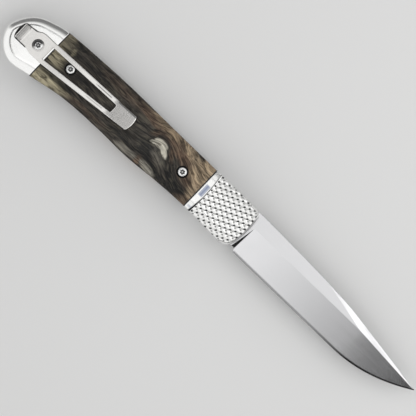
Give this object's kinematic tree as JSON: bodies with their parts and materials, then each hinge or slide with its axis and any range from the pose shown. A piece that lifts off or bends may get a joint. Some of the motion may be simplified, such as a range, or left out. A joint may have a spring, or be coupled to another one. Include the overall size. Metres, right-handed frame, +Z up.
{
  "type": "folding pocket knife",
  "caption": "Folding pocket knife, open: clip-point blade, horn-covered handle, knurled front bolster that turns to release the blade, and a slotted pocket clip.",
  "frame": {"origin": "middle of the bounding box in plan, at the height of the surface that the knife lies on", "axes": "+X towards the blade's tip, +Y towards the spine, +Z up through the handle to the clip side"},
  "size_m": [0.186, 0.0224, 0.0141],
  "materials": {
    "blade_steel": "fine satin, ground along the edge",
    "bolster_steel": "bright satin",
    "liner_steel": "satin",
    "clip_steel": "satin spring steel",
    "fitting_steel": "machined",
    "spring_steel": "drawn wire",
    "bronze": "plain bronze",
    "horn": "polished dark horn with pale streaks",
    "fibre_spacer": "black fibre sheet"
  },
  "bodies": {
    "handle": {"liner_clip_side": "liner_steel", "liner_show_side": "liner_steel", "back_spacer": "liner_steel", "frame_pin_front": "liner_steel", "frame_pin_middle": "liner_steel", "frame_pin_butt": "liner_steel", "pivot_barrel": "fitting_steel", "pivot_screw": "fitting_steel", "washer_clip_side": "bronze", "washer_show_side": "bronze", "opening_spring": "spring_steel", "plunger_spring": "spring_steel", "front_bolster_show_side": "bolster_steel", "bolster_screw_front_show_side": "fitting_steel", "bolster_screw_lower_show_side": "fitting_steel", "scale_clip_side": "horn", "scale_show_side": "horn", "rear_bolster_clip_side": "bolster_steel", "rear_bolster_show_side": "bolster_steel", "rear_line_spacer_clip_side": "fibre_spacer", "rear_line_spacer_show_side": "fibre_spacer", "front_line_spacer_clip_side": "fibre_spacer", "front_line_spacer_show_side": "fibre_spacer", "collar_clip_side": "bolster_steel", "collar_show_side": "bolster_steel", "scale_screw_front_clip_side": "fitting_steel", "scale_screw_front_show_side": "fitting_steel", "scale_screw_rear_clip_side": "fitting_steel", "scale_screw_rear_show_side": "fitting_steel", "pocket_clip": "clip_steel", "clip_screw": "fitting_steel"},
    "blade": {"blade": "blade_steel"},
    "release_bolster": {"release_bolster": "bolster_steel", "bolster_screw_front_clip_side": "fitting_steel", "bolster_screw_lower_clip_side": "fitting_steel"},
    "lock_plunger": {"lock_plunger": "spring_steel"}
  },
  "joints": [
    {"name": "blade_pivot", "type": "hinge", "parent": "handle", "child": "blade", "pos_m": [0.00495, 0.00109, 0.0058], "axis": [0, 0, -1], "range_deg": [0, 180], "stiffness_Nm_per_rad": 0.03, "springref_deg": -57.3, "deforming": ["opening_spring"]},
    {"name": "bolster_release", "type": "hinge", "parent": "handle", "child": "release_bolster", "pos_m": [0.00495, 0.00109, 0.0058], "axis": [0, 0, -1], "range_deg": [0, 3.5], "stiffness_Nm_per_rad": 0.5},
    {"name": "plunger_travel", "type": "slide", "parent": "handle", "child": "lock_plunger", "axis": [0, 0, -1], "range_m": [0, 0.0006], "deforming": ["plunger_spring"]}
  ],
  "couplings": [
    {"joint": "plunger_travel", "follows": "bolster_release", "m_per_rad": 0.009822}
  ]
}
